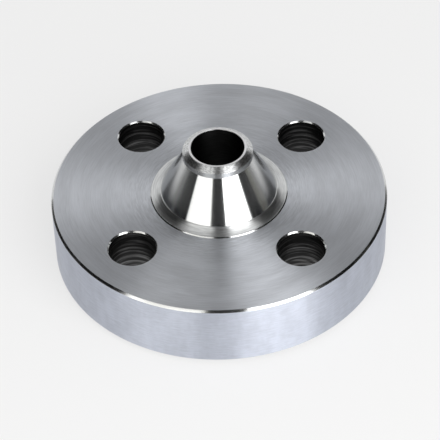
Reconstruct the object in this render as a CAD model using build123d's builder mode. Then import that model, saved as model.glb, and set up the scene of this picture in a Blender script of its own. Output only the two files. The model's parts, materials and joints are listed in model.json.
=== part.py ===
"""Reducing flange with a short weld neck, turned from one piece of stainless steel.

The part stands on its raised gasket face, which lies on the plane z = 0, with +Z up along the bore.
All sizes are in millimetres.
"""

import os
from math import radians, tan

from build123d import *

# Plate and its drilling
plate_d = 130.0
plate_t = 26.0
bolt_circle_d = 90.0
bolt_hole_d = 18.0
bolt_count = 4
first_bolt_angle = 45.0

# Raised gasket face under the plate, which ends just inside the bolt holes
gasket_face_to_holes = 2.0
gasket_face_h = 2.0

# Hub: a cone that rises to the pipe's diameter, then a short straight neck
hub_height = 22.5
neck_d = 26.9
neck_straight = 2.2
bore_d = 20.5

# Foot of the hub: a hollow root that flares out from a narrow ledge under the cone, down to the top
# of a low step that stands on the plate
hub_base_d = 52.1
hub_root_w = 3.35
hub_root_h = 1.8
hub_root_radius = 8.0
hub_ledge_w = 0.3
hub_step_w = 0.2
hub_step_h = 0.4

# Weld preparation at the tip of the neck: a narrow land round the bore, then the bevel
weld_land = 0.9
weld_bevel_angle = 35.0

# Broken edges
rim_chamfer = 0.8
rim_back_chamfer = 0.3
bolt_hole_chamfer = 0.5
bore_mouth_chamfer = 0.5
gasket_face_chamfer = 0.3
gasket_face_root_radius = 0.6

# The most that a chamfer takes of the wall between a bolt hole and the rim
chamfer_share = 0.4

# Radii and heights that follow from the sizes above
plate_r = plate_d / 2
gasket_face_r = (bolt_circle_d - bolt_hole_d) / 2 - gasket_face_to_holes
hub_base_r = hub_base_d / 2
neck_r = neck_d / 2
bore_r = bore_d / 2
land_r = bore_r + weld_land
plate_top = gasket_face_h + plate_t
step_top = plate_top + hub_step_h
root_top = step_top + hub_root_h
root_top_r = hub_base_r - hub_root_w
step_edge_r = hub_base_r + hub_step_w
tip_z = plate_top + hub_height
bevel_bottom = tip_z - (neck_r - land_r) * tan(radians(weld_bevel_angle))
cone_top = bevel_bottom - neck_straight
rim_wall = plate_r - (bolt_circle_d + bolt_hole_d) / 2

# Corners of the half section, as radius and height, from the bore's mouth round to its top
bore_mouth = (bore_r, 0)
gasket_face_edge = (gasket_face_r, 0)
gasket_face_root = (gasket_face_r, gasket_face_h)
rim_bottom = (plate_r, gasket_face_h)
rim_top = (plate_r, plate_top)
step_foot = (step_edge_r + hub_step_h, plate_top)
step_edge = (step_edge_r, step_top)
hub_root_foot = (hub_base_r, step_top)
hub_root_top = (root_top_r, root_top)
cone_foot = (root_top_r - hub_ledge_w, root_top)


def corner(sketch, point):
    """The corner of a sketch that lies at a point of its plane."""
    return sketch.vertices().sort_by_distance(point).first


with BuildPart() as reducing_flange:
    # The whole turned form is one half section, swept round the bore's axis
    with BuildSketch(Plane.XZ) as half_section:
        with BuildLine():
            Polyline(
                bore_mouth,
                gasket_face_edge,
                gasket_face_root,
                rim_bottom,
                rim_top,
                step_foot,
                step_edge,
                hub_root_foot,
            )
            RadiusArc(hub_root_foot, hub_root_top, hub_root_radius)
            Polyline(
                hub_root_top,
                cone_foot,
                (neck_r, cone_top),
                (neck_r, bevel_bottom),
                (land_r, tip_z),
                (bore_r, tip_z),
                bore_mouth,
            )
        make_face()
        fillet(corner(half_section, gasket_face_root), gasket_face_root_radius)
        chamfer(corner(half_section, rim_top), min(rim_chamfer, chamfer_share * rim_wall))
        chamfer(corner(half_section, rim_bottom), rim_back_chamfer)
        chamfer(corner(half_section, gasket_face_edge), gasket_face_chamfer)
        chamfer(corner(half_section, bore_mouth), bore_mouth_chamfer)
    revolve(axis=Axis.Z)

    # Bolt holes through the plate, their mouths chamfered on both sides
    with PolarLocations(bolt_circle_d / 2, bolt_count, start_angle=first_bolt_angle):
        Hole(bolt_hole_d / 2)
    hole_mouths = reducing_flange.edges(Select.LAST).filter_by(GeomType.CIRCLE)
    chamfer(hole_mouths, min(bolt_hole_chamfer, chamfer_share * rim_wall))

reducing_flange.part.label = "reducing_flange"

os.makedirs("parts", exist_ok=True)
export_step(reducing_flange.part, "parts/reducing_flange.step")
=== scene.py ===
"""Reducing flange of stainless steel: a turned plate with four bolt holes and a short weld neck.

Sizes are in metres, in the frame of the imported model: the gasket face lies on z = 0 and the bore runs up +Z.
"""

import json
import math
from dataclasses import dataclass

import bmesh
import bpy
from bpy.props import FloatProperty, FloatVectorProperty, IntProperty, PointerProperty
from mathutils import Matrix, Vector


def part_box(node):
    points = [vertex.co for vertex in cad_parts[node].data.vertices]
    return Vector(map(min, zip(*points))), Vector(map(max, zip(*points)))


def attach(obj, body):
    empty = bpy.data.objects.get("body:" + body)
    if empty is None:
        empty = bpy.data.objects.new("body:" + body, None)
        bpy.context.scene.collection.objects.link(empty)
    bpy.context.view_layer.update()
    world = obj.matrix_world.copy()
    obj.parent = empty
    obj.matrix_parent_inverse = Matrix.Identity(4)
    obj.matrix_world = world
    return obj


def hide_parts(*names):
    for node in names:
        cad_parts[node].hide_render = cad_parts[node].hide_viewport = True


bl_info = {
    "name": "Reducing flange",
    "version": (1, 0, 0),
    "blender": (4, 5, 0),
    "location": "View3D > Sidebar > Flange",
    "description": "Turned stainless steel reducing flange with a polished weld neck",
    "category": "Object",
}

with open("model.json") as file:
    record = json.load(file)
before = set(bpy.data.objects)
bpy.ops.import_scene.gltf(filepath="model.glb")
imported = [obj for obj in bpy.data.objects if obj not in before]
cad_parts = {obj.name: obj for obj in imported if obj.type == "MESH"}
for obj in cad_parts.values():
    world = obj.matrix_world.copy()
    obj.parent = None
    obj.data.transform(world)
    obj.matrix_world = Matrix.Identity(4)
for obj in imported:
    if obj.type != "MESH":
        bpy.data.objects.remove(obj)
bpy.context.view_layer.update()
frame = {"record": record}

NODE = "reducing_flange"
BODY = "root"
IMAGE_SIDE = 440
SENSOR_MM = 36.0
MM = 0.001


def mount(name):
    """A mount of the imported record, by its name."""
    return next(m for m in frame["record"]["mounts"] if m["name"] == name)


TOP_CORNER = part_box(NODE)[1]
PLATE_R = TOP_CORNER.x
TIP_Z = TOP_CORNER.z
PLATE_TOP = mount("bolting_face")["pos_m"][2]
BORE_R = mount("bore")["dims"]["r_mm"] * MM
BOLT_CIRCLE_R = mount("bolt_holes")["dims"]["pcd_mm"] * MM / 2
BOLT_HOLE_R = mount("bolt_holes")["dims"]["hole_r_mm"] * MM
BOLT_COUNT = mount("bolt_holes")["dims"]["count"]

# Zones of the turned surface, each with a finish of its own, in the order of the mesh's material slots
ZONES = (
    "face", "rim", "edge", "mouth", "cone", "neck", "root", "bevel", "land", "bore", "hole", "back", "gasket",
)


def length(name, description, default):
    """A size that a user may change, in metres."""
    return FloatProperty(name=name, description=description, default=default, min=0, unit="LENGTH", precision=5)


def angle(name, description, degrees):
    """An angle that a user may change, given here in degrees."""
    return FloatProperty(name=name, description=description, default=math.radians(degrees), subtype="ANGLE")


def colour(name, description, default):
    """A linear colour that a user may change."""
    return FloatVectorProperty(name=name, description=description, default=default, subtype="COLOR", size=3)


def amount(name, description, default):
    """A plain number that a user may change."""
    return FloatProperty(name=name, description=description, default=default, min=0)


def count(name, description, default):
    """A number of steps that a user may change."""
    return IntProperty(name=name, description=description, default=default, min=2)


class FlangeSizes(bpy.types.PropertyGroup):
    """Sizes of the turned form."""

    plate_r: length("Plate radius", "Outside radius of the plate", PLATE_R)
    gasket_face_r: length("Gasket face radius", "Radius of the raised face under the plate", 34.0 * MM)
    gasket_face_h: length("Gasket face height", "Height of the raised face under the plate", 2.0 * MM)
    gasket_root_r: length("Gasket face root", "Radius in the corner behind the raised face", 0.6 * MM)
    hub_base_r: length("Hub base radius", "Where the hub's root ends on its step", 26.05 * MM)
    root_w: length("Root width", "How far the hub's root flares out", 3.35 * MM)
    root_h: length("Root height", "Height of the hub's root above its step", 1.8 * MM)
    root_r: length("Root radius", "Radius of the hollow root", 8.0 * MM)
    ledge_w: length("Ledge width", "Narrow ledge between the cone and the root", 0.3 * MM)
    step_w: length("Step width", "Flat top of the step outside the root", 0.2 * MM)
    step_h: length("Step height", "Height of the step on the plate", 0.4 * MM)
    neck_r: length("Neck radius", "Outside radius of the neck", 13.45 * MM)
    neck_straight: length("Neck length", "Straight length of the neck under its bevel", 2.2 * MM)
    land: length("Weld land", "Width of the land round the bore", 0.9 * MM)
    bevel: angle("Weld bevel", "Slope of the weld bevel", 35)
    rim_chamfer: length("Rim chamfer", "Chamfer on the rim's upper edge", 0.8 * MM)
    rim_back_chamfer: length("Rim back chamfer", "Chamfer on the rim's lower edge", 0.3 * MM)
    hole_chamfer: length("Hole chamfer", "Chamfer at the mouths of the bolt holes", 0.5 * MM)
    bore_chamfer: length("Bore chamfer", "Chamfer at the bore's lower mouth", 0.5 * MM)
    gasket_chamfer: length("Gasket face chamfer", "Chamfer round the raised face", 0.3 * MM)
    edge_break: length("Edge break", "Radius of the finely broken edges", 0.08 * MM)
    steps: count("Steps", "Steps round the plate", 288)
    hole_steps: count("Hole steps", "Steps round a bolt hole", 96)
    arc_step: angle("Arc step", "Largest turn between two points of a section's arc", 6)


class FlangeColours(bpy.types.PropertyGroup):
    """Colours of the steel and of the stage."""

    steel: colour("Steel", "Colour of the turned face", (0.61, 0.63, 0.67))
    rim: colour("Rim steel", "Colour of the turned rim", (0.58, 0.61, 0.69))
    polished: colour("Polished steel", "Colour of the polished hub", (0.66, 0.67, 0.67))
    # The land's steel is painted near white, much lighter than the rest, as a highlight that it shows all round
    bright: colour("Bright steel", "Colour of the freshly cut land", (0.90, 0.90, 0.91))
    # Steel of the bore and the bolt holes, painted far darker than the steel's own colour as the shade inside these
    # recesses
    recess_shade_steel: colour("Bored steel", "Colour of the steel inside the bore and the holes", (0.14, 0.14, 0.14))
    floor: colour("Floor", "Colour of the floor and background", (0.88, 0.88, 0.88))


class FlangeStage(bpy.types.PropertyGroup):
    """Camera of the studio and how plainly the floor shows."""

    camera_height: angle("Camera height", "Angle of the view above the floor", 43.68)
    camera_roll: angle("Camera roll", "Lean of the picture", -1.97)
    camera_turn: angle("Camera turn", "Turn of the camera round the bore", 2.88)
    camera_distance: length("Camera distance", "From the camera to the point it looks at", 0.8236)
    target_depth: length("Target depth", "Depth of the camera's target under the plate's top", 0.01572)
    lens_pixels: amount("Lens", "Focal length in pixels of the picture", 2098.5)
    floor_glow: amount("Floor glow", "Share of the floor's look that no shadow reaches", 0.7)
    ambient: amount("Ambient light", "Level of the even light from all round", 0.6)


GROUPS = {"flange_sizes": FlangeSizes, "flange_colours": FlangeColours, "flange_stage": FlangeStage}


@dataclass
class Corner:
    """A corner of a turned section: its place, its rounding, and the run that leaves it, straight or hollow."""

    r: float
    z: float
    zone: str
    radius: float = 0.0
    hollow: float = 0.0


def arc(centre, start, end, arc_step):
    """Points from one place to another round a centre."""
    first = start - centre
    turn = first.angle_signed(end - centre)
    steps = math.ceil(abs(turn) / arc_step)
    return [centre + Matrix.Rotation(-turn * k / steps, 2) @ first for k in range(steps + 1)]


def rounded(before, corner, after, radius, arc_step):
    """Points of the arc that rounds a corner between its two neighbours."""
    back = (before - corner).normalized()
    on = (after - corner).normalized()
    half = back.angle(on) / 2
    centre = corner + (back + on).normalized() * radius / math.sin(half)
    reach = radius / math.tan(half)
    return arc(centre, corner + back * reach, corner + on * reach, arc_step)


def hollowed(start, end, radius, arc_step):
    """Points of a hollow arc from one place to another, its centre on the right of the way."""
    way = end - start
    rise = math.sqrt(radius**2 - way.length_squared / 4)
    centre = (start + end) / 2 + Vector((way.y, -way.x)).normalized() * rise
    return arc(centre, start, end, arc_step)


def section_runs(corners, arc_step):
    """The runs and roundings of a section, each with its zone and its points as (radius, height)."""
    places = [Vector((c.r, c.z)) for c in corners]
    ends = [[place] for place in places]
    for i in range(1, len(corners) - 1):
        if corners[i].radius:
            ends[i] = rounded(*places[i - 1:i + 2], corners[i].radius, arc_step)
    runs = []
    for i, corner in enumerate(corners[:-1]):
        start, end = ends[i][-1], ends[i + 1][0]
        if len(ends[i]) > 1:
            runs.append((corner.zone if corner.zone == corners[i - 1].zone else "edge", ends[i]))
        runs.append((corner.zone, hollowed(start, end, corner.hollow, arc_step) if corner.hollow else [start, end]))
    return runs


def finished(bm, name):
    """The mesh of a bmesh that is done with."""
    mesh = bpy.data.meshes.new(name)
    bm.to_mesh(mesh)
    bm.free()
    return mesh


def turn_section(bm, corners, s, steps, axis=(0.0, 0.0)):
    """Turns a section once round an upright axis and adds it to bm, each run of it in its own zone."""
    for zone, points in section_runs(corners, s.arc_step):
        run = bmesh.new()
        verts = [run.verts.new((axis[0] + point.x, axis[1], point.y)) for point in points]
        edges = [run.edges.new(pair) for pair in zip(verts, verts[1:])]
        bmesh.ops.spin(
            run, geom=verts + edges, cent=(*axis, 0.0), axis=(0, 0, 1), angle=math.tau,
            steps=steps, use_merge=True, use_duplicate=False,
        )
        for face in run.faces:
            face.material_index = ZONES.index(zone)
        turned = finished(run, zone)
        bm.from_mesh(turned)
        bpy.data.meshes.remove(turned)


def hub_section(s):
    """From the plate's face up the hub, over its weld end, down the bore and out under the gasket face."""
    step_top = PLATE_TOP + s.step_h
    step_r = s.hub_base_r + s.step_w
    foot_r = step_r + s.step_h
    root_top = step_top + s.root_h
    root_top_r = s.hub_base_r - s.root_w
    land_r = BORE_R + s.land
    bevel_low = TIP_Z - (s.neck_r - land_r) * math.tan(s.bevel)
    cone_top = bevel_low - s.neck_straight
    return [
        Corner(foot_r + s.root_w, PLATE_TOP, "face"),
        Corner(foot_r, PLATE_TOP, "edge"),
        Corner(step_r, step_top, "root", s.edge_break),
        Corner(s.hub_base_r, step_top, "root", hollow=s.root_r),
        Corner(root_top_r, root_top, "root"),
        Corner(root_top_r - s.ledge_w, root_top, "cone"),
        Corner(s.neck_r, cone_top, "neck", s.edge_break),
        Corner(s.neck_r, bevel_low, "bevel", s.edge_break),
        Corner(land_r, TIP_Z, "land", s.edge_break),
        Corner(BORE_R, TIP_Z, "bore", s.edge_break),
        Corner(BORE_R, s.bore_chamfer, "edge"),
        Corner(BORE_R + s.bore_chamfer, 0, "gasket"),
        Corner(s.gasket_face_r - s.gasket_chamfer, 0, "edge"),
        Corner(s.gasket_face_r, s.gasket_chamfer, "back"),
        Corner(s.gasket_face_r, s.gasket_face_h, "back", s.gasket_root_r),
        Corner(s.gasket_face_r + 2 * s.gasket_root_r, s.gasket_face_h, "back"),
    ]


def rim_section(s):
    """From the plate's face over the rim to its underside."""
    inset = 2 * s.rim_chamfer
    return [
        Corner(s.plate_r - inset, PLATE_TOP, "face"),
        Corner(s.plate_r - s.rim_chamfer, PLATE_TOP, "edge", s.edge_break),
        Corner(s.plate_r, PLATE_TOP - s.rim_chamfer, "rim", s.edge_break),
        Corner(s.plate_r, s.gasket_face_h + s.rim_back_chamfer, "edge", s.edge_break),
        Corner(s.plate_r - s.rim_back_chamfer, s.gasket_face_h, "back", s.edge_break),
        Corner(s.plate_r - inset, s.gasket_face_h, "back"),
    ]


def hole_section(s):
    """From the plate's face down a bolt hole to its underside."""
    mouth = BOLT_HOLE_R + s.hole_chamfer
    return [
        Corner(mouth + s.hole_chamfer, PLATE_TOP, "face"),
        Corner(mouth, PLATE_TOP, "mouth", s.edge_break),
        Corner(BOLT_HOLE_R, PLATE_TOP - s.hole_chamfer, "hole", s.edge_break),
        Corner(BOLT_HOLE_R, s.gasket_face_h + s.hole_chamfer, "mouth"),
        Corner(mouth, s.gasket_face_h, "back"),
        Corner(mouth + s.hole_chamfer, s.gasket_face_h, "back"),
    ]


def hole_axes():
    """Places of the bolt holes round the bolt circle, the first midway between the X and Y axes."""
    return [
        Matrix.Rotation(math.tau * (k + 0.5) / BOLT_COUNT, 2) @ Vector((BOLT_CIRCLE_R, 0))
        for k in range(BOLT_COUNT)
    ]


def fill_level(bm, height, up, zone):
    """Closes the flat face that is left open between rings of edges at one height."""
    tiny = 1e-6
    edges = [e for e in bm.edges if e.is_boundary and all(abs(v.co.z - height) < tiny for v in e.verts)]
    made = bmesh.ops.triangle_fill(bm, use_beauty=True, use_dissolve=False, edges=edges, normal=(0, 0, up))
    for item in made["geom"]:
        if isinstance(item, bmesh.types.BMFace):
            item.material_index = ZONES.index(zone)


def flange_mesh(s):
    """The whole turned and drilled form as one closed mesh."""
    bm = bmesh.new()
    merge = 1e-7
    sharp = math.radians(12)
    turn_section(bm, hub_section(s), s, s.steps)
    turn_section(bm, rim_section(s), s, s.steps)
    for axis in hole_axes():
        turn_section(bm, hole_section(s), s, s.hole_steps, tuple(axis))
    bmesh.ops.remove_doubles(bm, verts=bm.verts, dist=merge)
    fill_level(bm, PLATE_TOP, 1, "face")
    fill_level(bm, s.gasket_face_h, -1, "back")
    bmesh.ops.recalc_face_normals(bm, faces=bm.faces)
    if any(not e.is_manifold for e in bm.edges):
        raise RuntimeError("the flange's mesh isn't closed")
    for face in bm.faces:
        face.smooth = True
    for edge in bm.edges:
        edge.smooth = edge.calc_face_angle() < sharp
    return finished(bm, "flange")


class Wire:
    """A socket of a material's node that takes part in plain arithmetic."""

    def __init__(self, material, socket):
        self.material = material
        self.socket = socket

    def maths(self, operation, *values):
        """A Math node over values in their order."""
        return self.material.node("ShaderNodeMath", {"operation": operation}, values)

    def __add__(self, other):
        return self.maths("ADD", self, other)

    def __sub__(self, other):
        return self.maths("SUBTRACT", self, other)

    def __rsub__(self, other):
        return self.maths("SUBTRACT", other, self)

    def __mul__(self, other):
        return self.maths("MULTIPLY", self, other)

    def __truediv__(self, other):
        return self.maths("DIVIDE", self, other)

    def __rtruediv__(self, other):
        return self.maths("DIVIDE", other, self)

    __radd__ = __add__
    __rmul__ = __mul__

    def root(self):
        """The square root."""
        return self.maths("SQRT", self)

    def wave(self):
        """A smooth wave from 0 to 1, once for every whole turn of 2 pi."""
        return self.maths("SINE", self) * 0.5 + 0.5


class Material:
    """A material's nodes, and the few patterns that its finish is made of."""

    def __init__(self, owner):
        owner.use_nodes = True
        self.owner = owner
        self.tree = owner.node_tree
        self.tree.nodes.clear()

    def node(self, kind, settings=None, sockets=(), output=0):
        """Adds a node: its settings first, then the values or links of its sockets."""
        made = self.tree.nodes.new(kind)
        for key, value in (settings or {}).items():
            setattr(made, key, value)
        for key, value in sockets.items() if isinstance(sockets, dict) else enumerate(sockets):
            if isinstance(value, Wire):
                self.tree.links.new(value.socket, made.inputs[key])
            else:
                made.inputs[key].default_value = value
        return Wire(self, made.outputs[output]) if made.outputs else None

    def place(self):
        """X, Y and Z on the object."""
        spot = self.node("ShaderNodeTexCoord", output="Object")
        return [self.node("ShaderNodeSeparateXYZ", {}, [spot], k) for k in range(3)]

    def polar(self):
        """Radius, the turn as its cosine and sine, and height, all about the bore."""
        x, y, z = self.place()
        radius = (x * x + y * y).root()
        return radius, (x / radius, y / radius), z

    def noise(self, parts, detail=2.0, roughness=0.5):
        """A noise from 0 to 1 over three coordinates, already scaled."""
        vector = self.node("ShaderNodeCombineXYZ", {}, list(parts))
        return self.node(
            "ShaderNodeTexNoise", {}, {"Vector": vector, "Scale": 1.0, "Detail": detail, "Roughness": roughness}
        )

    def lines(self, across, pitch, turn, changes, detail=2.0, roughness=0.5):
        """Lines that run round the bore, a pitch apart, and change so often on their way round."""
        return self.noise([across / pitch, turn[0] * changes, turn[1] * changes], detail, roughness)

    def remap(self, value, low, high, to_low, to_high):
        """A value moved smoothly from one span to another, and held at its ends."""
        return self.node(
            "ShaderNodeMapRange", {"interpolation_type": "SMOOTHSTEP"}, [value, low, high, to_low, to_high]
        )

    def blend(self, factor, first, second):
        """A colour between two others."""
        return self.node("ShaderNodeMix", {"data_type": "RGBA"}, {0: factor, 6: first, 7: second}, 2)

    def shade(self, tone, low, high, value):
        """A colour made darker or lighter between two shares of its tone, as a value from 0 to 1 goes."""
        return self.blend(value, (*(low * c for c in tone), 1.0), (*(high * c for c in tone), 1.0))

    def bump(self, height, distance, strength=1.0):
        """A normal that follows a height from 0 to 1, given how far that is in metres."""
        return self.node("ShaderNodeBump", {}, {"Strength": strength, "Distance": distance, "Height": height})

    def steel(self, base, roughness, anisotropic=0.0, rotation=0.0, normal=None):
        """Ends the material in bare metal."""
        sockets = {
            "Base Color": base, "Metallic": 1.0, "Roughness": roughness,
            "Anisotropic": anisotropic, "Anisotropic Rotation": rotation,
        }
        if normal:
            sockets["Normal"] = normal
        return self.surface(self.node("ShaderNodeBsdfPrincipled", {}, sockets))

    def surface(self, shader, kind="Material"):
        """Ends the nodes in a shader, and gives back the material or world that they belong to."""
        self.node(f"ShaderNodeOutput{kind}", {}, {"Surface": shader})
        return self.owner


# Turns the grain of a material so that it runs round the bore, as turning marks do
ROUND_BORE = 0.25


def new_material(name):
    """An empty material of the flange."""
    return Material(bpy.data.materials.new(name))


def face_steel(colours):
    """The plate's face: fine turning marks round the bore, which fan the light out from it."""
    m = new_material("turned_face")
    radius, turn, z = m.polar()
    fine = m.lines(radius, 0.45 * MM, turn, 7, 3.0, 0.6)
    broad = m.lines(radius, 5 * MM, turn, 2.5)
    near_hub = m.remap(radius, 28 * MM, 40 * MM, 1.0, 0.45)
    marks = (fine - 0.5) * near_hub + (broad - 0.5) * 0.5 + 0.5
    base = m.shade(colours.steel, 0.86, 1.14, m.remap(marks, 0.25, 0.75, 0.0, 1.0))
    rough = m.remap(broad, 0.3, 0.7, 0.39, 0.42)
    return m.steel(base, rough, 0.9, ROUND_BORE, m.bump(fine, 0.003 * MM))


def rim_steel(colours):
    """The rim: fine turned lines round it, and soft blotches."""
    m = new_material("turned_rim")
    radius, turn, z = m.polar()
    fine = m.lines(z, 0.5 * MM, turn, 14, 3.0, 0.6)
    soft = m.noise([turn[0] * 9, turn[1] * 9, z * 50], 3.0, 0.6)
    base = m.shade(colours.rim, 0.88, 1.10, m.remap(fine * 0.5 + soft * 0.5, 0.3, 0.7, 0.0, 1.0))
    return m.steel(base, 0.40, 0.88, ROUND_BORE, m.bump(fine, 0.004 * MM))


def edge_steel(colours):
    """Turned chamfers and broken edges, cut bright."""
    m = new_material("bright_edge")
    radius, turn, z = m.polar()
    marks = m.lines(z, 1.1 * MM, turn, 40)
    return m.steel(m.shade(colours.polished, 0.95, 1.08, marks), 0.16, 0.9, ROUND_BORE)


def mouth_steel(colours):
    """The chamfered mouths of the bolt holes, cut bright all round."""
    m = new_material("bright_mouth")
    marks = m.noise([part * 900 for part in m.place()])
    return m.steel(m.shade(colours.polished, 0.95, 1.08, marks), 0.14)


def cone_steel(colours):
    """The hub's cone, turned fine and polished until it mirrors the lamps in hard stripes."""
    m = new_material("polished_cone")
    radius, turn, z = m.polar()
    rings = m.lines(z, 0.4 * MM, turn, 1.5, 2.0, 0.6)
    return m.steel(
        m.shade(colours.polished, 0.95, 1.05, rings), 0.15, 0.95, ROUND_BORE, m.bump(rings, 0.001 * MM)
    )


def root_steel(colours):
    """The hub's hollow root, turned in visible rings."""
    m = new_material("turned_root")
    radius, turn, z = m.polar()
    rings = m.lines(radius, 0.4 * MM, turn, 4, 2.0, 0.6)
    base = m.shade(colours.polished, 0.84, 1.12, m.remap(rings, 0.35, 0.65, 0.0, 1.0))
    return m.steel(base, 0.30, 0.95, ROUND_BORE, m.bump(rings, 0.006 * MM))


def bevel_steel(colours):
    """The weld bevel, rough turned with torn glints."""
    m = new_material("rough_bevel")
    radius, turn, z = m.polar()
    torn = m.lines(radius, 0.5 * MM, turn, 12, 3.0, 0.7)
    base = m.shade(colours.polished, 0.66, 1.15, m.remap(torn, 0.38, 0.62, 0.0, 1.0))
    return m.steel(base, 0.30, 0.85, ROUND_BORE, m.bump(torn, 0.02 * MM))


def neck_steel(colours):
    """The short straight neck, turned smooth."""
    m = new_material("turned_neck")
    radius, turn, z = m.polar()
    rings = m.lines(z, 0.4 * MM, turn, 2)
    return m.steel(m.shade(colours.polished, 0.9, 1.08, rings), 0.24, 0.92, ROUND_BORE)


def land_steel(colours):
    """The weld land round the bore, faced, its steel painted near white as a highlight that it shows all round."""
    m = new_material("faced_land")
    radius, turn, z = m.polar()
    marks = m.lines(radius, 1.1 * MM, turn, 8)
    return m.steel(m.shade(colours.bright, 0.94, 1.06, marks), 0.35, 0.5, ROUND_BORE)


def bore_steel(colours):
    """The bore, painted dark inside as shade, with fine turning rings down its wall."""
    m = new_material("bored_wall")
    radius, turn, z = m.polar()
    rings = m.lines(z, 0.7 * MM, turn, 2)
    # Painted shade: the bore's wall is darkened to between a tenth and three tenths of an already dark steel
    base = m.shade(colours.recess_shade_steel, 0.1, 0.3, rings)
    return m.steel(base, 0.35, 0.7, ROUND_BORE, m.bump(rings, 0.02 * MM))


def hole_steel(colours):
    """The bolt holes, drilled, painted dark as shade, with tool marks round their walls that are lightened in part
    as painted glints.
    """
    m = new_material("drilled_wall")
    x, y, z = m.place()
    rings = m.noise([x * 60, y * 60, z * 1100], 2.0, 0.6)
    # Painted shade with painted glints: the dark walls lighten along the tool-mark rings, which are real marks
    base = m.shade(colours.recess_shade_steel, 0.25, 1.6, m.remap(rings, 0.45, 0.7, 0.0, 1.0))
    return m.steel(base, 0.34, normal=m.bump(rings, 0.08 * MM))


def back_steel(colours):
    """The plate's underside, turned coarser than its face."""
    m = new_material("turned_back")
    radius, turn, z = m.polar()
    rings = m.lines(radius, 0.8 * MM, turn, 3, 3.0, 0.6)
    base = m.shade(colours.steel, 0.86, 1.1, m.remap(rings, 0.3, 0.7, 0.0, 1.0))
    return m.steel(base, 0.42, 0.85, ROUND_BORE, m.bump(rings, 0.01 * MM))


def gasket_steel(colours):
    """The raised gasket face, with the fine round grooves that grip a gasket."""
    m = new_material("grooved_gasket_face")
    radius, turn, z = m.polar()
    pitch = 0.8 * MM
    groove = (radius * (math.tau / pitch)).wave()
    return m.steel(m.shade(colours.steel, 0.86, 1.08, groove), 0.34, 0.85, ROUND_BORE, m.bump(groove, 0.05 * MM))


FINISHES = {
    "face": face_steel, "rim": rim_steel, "edge": edge_steel, "mouth": mouth_steel, "cone": cone_steel,
    "neck": neck_steel, "root": root_steel, "bevel": bevel_steel, "land": land_steel, "bore": bore_steel,
    "hole": hole_steel, "back": back_steel, "gasket": gasket_steel,
}


@dataclass
class Panel:
    """An upright panel that faces the bore, in metres: its azimuth runs to the camera's right, in degrees."""

    name: str
    azimuth: float
    distance: float
    width: float
    low: float
    high: float
    level: float
    tint: tuple = (1.0, 1.0, 1.0)
    lean: float = 0.0

    def stand(self, stage):
        """Where the panel stands, as a matrix that turns its -Z axis to the bore."""
        turn = math.radians(self.azimuth) + stage.camera_turn
        away = Vector((math.sin(turn), -math.cos(turn), 0))
        place = away * self.distance + Vector((0, 0, (self.low + self.high) / 2))
        facing = (-away).to_track_quat("-Z", "Y").to_matrix().to_4x4()
        return Matrix.Translation(place) @ facing @ Matrix.Rotation(math.radians(self.lean), 4, "Z")

    def corners(self, stage):
        """Its four corners."""
        x, y = self.width / 2, (self.high - self.low) / 2
        return [self.stand(stage) @ Vector((*spot, 0)) for spot in ((-x, -y), (x, -y), (x, y), (-x, y))]


WARM = (1, 0.985, 0.93)
GLOW = (1, 0.98, 0.85)

LAMPS = (
    Panel("key_lamp", azimuth=31, distance=0.65, width=0.58, low=0.02, high=1.1, level=3.6),
    Panel("fill_lamp", azimuth=-32.5, distance=0.65, width=0.66, low=0.1, high=1.1, level=1.1, tint=WARM),
)

CARDS = (
    Panel("gap_card", azimuth=2, distance=0.55, width=0.26, low=-0.1, high=1.0, level=0.02, lean=-10),
    Panel("right_card", azimuth=94.5, distance=0.4, width=0.6, low=0, high=0.7, level=0.01),
    Panel("left_card", azimuth=-95.5, distance=0.4, width=0.56, low=0, high=0.7, level=0.01),
    Panel("right_glow", azimuth=87.5, distance=0.38, width=0.1, low=0, high=0.12, level=0.14, tint=GLOW),
    Panel("left_glow", azimuth=-90.5, distance=0.38, width=0.047, low=0, high=0.12, level=0.10),
)

# The roof over the flange is dark but for two bright sectors. Their edges are mirrored on every turned
# surface at the same turn round the bore, whatever its slope: from, to, then level. The slopes that
# mirror them start above the plate's face and end with the steepest part of the hub's root.
ROOF_H = 0.7
ROOF_SIDE = 0.75
ROOF_BACK = 0.62
ROOF_LEVEL = 0.02
SECTORS = {"right_sector": (8, 34.5, 1.3), "left_sector": (-6, -34.5, 0.8)}
SECTOR_SLOPES = (17, 44)
# The sectors hang just under the roof, at this share of its height
SECTOR_DROP = 0.99


def link(obj):
    """Adds an object to the scene."""
    bpy.context.scene.collection.objects.link(obj)
    return obj


def softbox(stage, panel):
    """A soft lamp, as bright all over as its panel's level says."""
    data = bpy.data.lights.new(panel.name, "AREA")
    data.shape = "RECTANGLE"
    data.size = panel.width
    data.size_y = panel.high - panel.low
    data.energy = math.pi * data.size * data.size_y * panel.level
    data.color = panel.tint
    lamp = link(bpy.data.objects.new(panel.name, data))
    lamp.matrix_world = panel.stand(stage)
    lamp.visible_camera = False


def card(name, corners, level, tint=(1.0, 1.0, 1.0)):
    """A card near the flange that only its reflections show."""
    bm = bmesh.new()
    bm.faces.new([bm.verts.new(corner) for corner in corners])
    made = link(bpy.data.objects.new(name, finished(bm, name)))
    m = new_material(name)
    glow = m.node("ShaderNodeEmission", {}, {"Color": (*tint, 1.0), "Strength": level})
    made.data.materials.append(m.surface(glow))
    made.visible_camera = False
    made.visible_diffuse = False
    made.visible_shadow = False


def mirrored(stage, turn, slope):
    """Where the light comes from that a turned surface mirrors to the camera, by its turn and slope in degrees."""
    turn, slope = math.radians(turn), math.radians(slope)
    view = Vector((0, -math.cos(stage.camera_height), math.sin(stage.camera_height)))
    normal = Vector((math.sin(turn) * math.sin(slope), -math.cos(turn) * math.sin(slope), math.cos(slope)))
    return 2 * view.dot(normal) * normal - view


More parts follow.
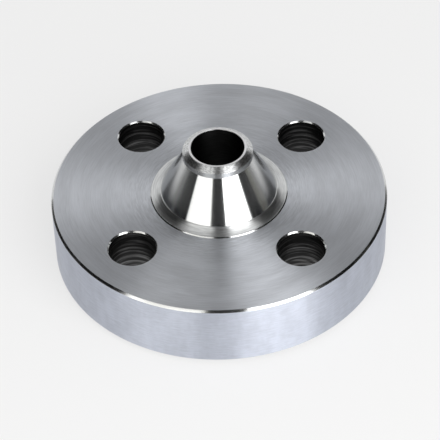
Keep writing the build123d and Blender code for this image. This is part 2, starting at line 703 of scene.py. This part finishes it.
def set_roof(stage):
    """The dark roof over the flange, with its two bright sectors."""
    swing = Matrix.Rotation(stage.camera_turn, 3, "Z")
    spots = ((-ROOF_SIDE, -ROOF_SIDE), (ROOF_SIDE, -ROOF_SIDE), (ROOF_SIDE, ROOF_BACK), (-ROOF_SIDE, ROOF_BACK))
    card("roof", [swing @ Vector((*spot, ROOF_H)) for spot in spots], ROOF_LEVEL)
    low, high = SECTOR_SLOPES
    for name, (start, end, level) in SECTORS.items():
        ways = [mirrored(stage, *corner) for corner in ((start, low), (start, high), (end, high), (end, low))]
        card(name, [swing @ (way * SECTOR_DROP * ROOF_H / way.z) for way in ways], level)


def set_cards(stage):
    """The upright cards round the flange and the roof over it."""
    for panel in CARDS:
        card(panel.name, panel.corners(stage), panel.level, panel.tint)
    set_roof(stage)


def plain_view(m):
    """1 for the rays that show the stage as it is: the camera's, and those mirrored or let through."""
    rays = [m.node("ShaderNodeLightPath", output=f"Is {kind} Ray") for kind in ("Camera", "Glossy", "Transmission")]
    return sum(rays[1:], rays[0])


def lay_floor(stage, colours):
    """A wide round floor under the flange, plain but for the flange's soft shadow."""
    bm = bmesh.new()
    bmesh.ops.create_circle(bm, cap_ends=True, segments=96, radius=4.0)
    floor = link(bpy.data.objects.new("floor", finished(bm, "floor")))
    m = new_material("floor_paint")
    paint = {"Color": (*colours.floor, 1.0)}
    lit = m.node("ShaderNodeBsdfDiffuse", {}, paint)
    plain = m.node("ShaderNodeEmission", {}, paint)
    seen = plain_view(m) * stage.floor_glow
    floor.data.materials.append(m.surface(m.node("ShaderNodeMixShader", {}, [seen, lit, plain])))


def light_world(stage, colours):
    """A pale surround for the camera and for reflections, and an even ambient light for the rest."""
    m = Material(bpy.data.worlds.new("surround"))
    ambient = (stage.ambient, stage.ambient, stage.ambient, 1.0)
    shade = m.blend(plain_view(m), ambient, (*colours.floor, 1.0))
    bpy.context.scene.world = m.surface(m.node("ShaderNodeBackground", {}, {"Color": shade}), "World")


def set_camera(stage):
    """The photograph's own view of the flange."""
    turn = Matrix.Rotation(stage.camera_turn, 3, "Z")
    back = turn @ Vector((0, -math.cos(stage.camera_height), math.sin(stage.camera_height)))
    level = turn @ Vector((1, 0, 0))
    upright = back.cross(level)
    right = math.cos(stage.camera_roll) * level + math.sin(stage.camera_roll) * upright
    up = back.cross(right)
    data = bpy.data.cameras.new("view")
    data.sensor_width = SENSOR_MM
    data.lens = stage.lens_pixels * SENSOR_MM / IMAGE_SIDE
    camera = link(bpy.data.objects.new("view", data))
    place = Vector((0, 0, PLATE_TOP - stage.target_depth)) + back * stage.camera_distance
    camera.matrix_world = Matrix.Translation(place) @ Matrix((right, up, back)).transposed().to_4x4()
    bpy.context.scene.camera = camera


class FLANGE_OT_make_flange(bpy.types.Operator):
    """Make the turned and drilled flange with its finishes"""

    bl_idname = "flange.make_flange"
    bl_label = "Make flange"

    def execute(self, context):
        mesh = flange_mesh(context.scene.flange_sizes)
        for zone in ZONES:
            mesh.materials.append(FINISHES[zone](context.scene.flange_colours))
        flange = link(bpy.data.objects.new("turned_flange", mesh))
        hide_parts(NODE)
        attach(flange, BODY)
        return {"FINISHED"}


class FLANGE_OT_make_stage(bpy.types.Operator):
    """Lay the floor and set the lamps, cards and camera"""

    bl_idname = "flange.make_stage"
    bl_label = "Make stage"

    def execute(self, context):
        stage = context.scene.flange_stage
        colours = context.scene.flange_colours
        lay_floor(stage, colours)
        light_world(stage, colours)
        for panel in LAMPS:
            softbox(stage, panel)
        set_cards(stage)
        set_camera(stage)
        context.scene.view_settings.view_transform = "Standard"
        return {"FINISHED"}


class FLANGE_PT_panel(bpy.types.Panel):
    """Sizes, colours and steps of the flange"""

    bl_idname = "FLANGE_PT_panel"
    bl_label = "Reducing flange"
    bl_space_type = "VIEW_3D"
    bl_region_type = "UI"
    bl_category = "Flange"

    def draw(self, context):
        for name, group in GROUPS.items():
            box = self.layout.box()
            for prop in group.__annotations__:
                box.prop(getattr(context.scene, name), prop)
        for operator in OPERATORS:
            self.layout.operator(operator.bl_idname)


OPERATORS = (FLANGE_OT_make_flange, FLANGE_OT_make_stage)
CLASSES = (*GROUPS.values(), *OPERATORS, FLANGE_PT_panel)


def register():
    for cls in CLASSES:
        bpy.utils.register_class(cls)
    for name, group in GROUPS.items():
        setattr(bpy.types.Scene, name, PointerProperty(type=group))


def unregister():
    for name in GROUPS:
        delattr(bpy.types.Scene, name)
    for cls in reversed(CLASSES):
        bpy.utils.unregister_class(cls)


def main():
    """Registers the add-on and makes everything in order."""
    register()
    bpy.ops.flange.make_flange()
    bpy.ops.flange.make_stage()


if __name__ == "__main__":
    main()
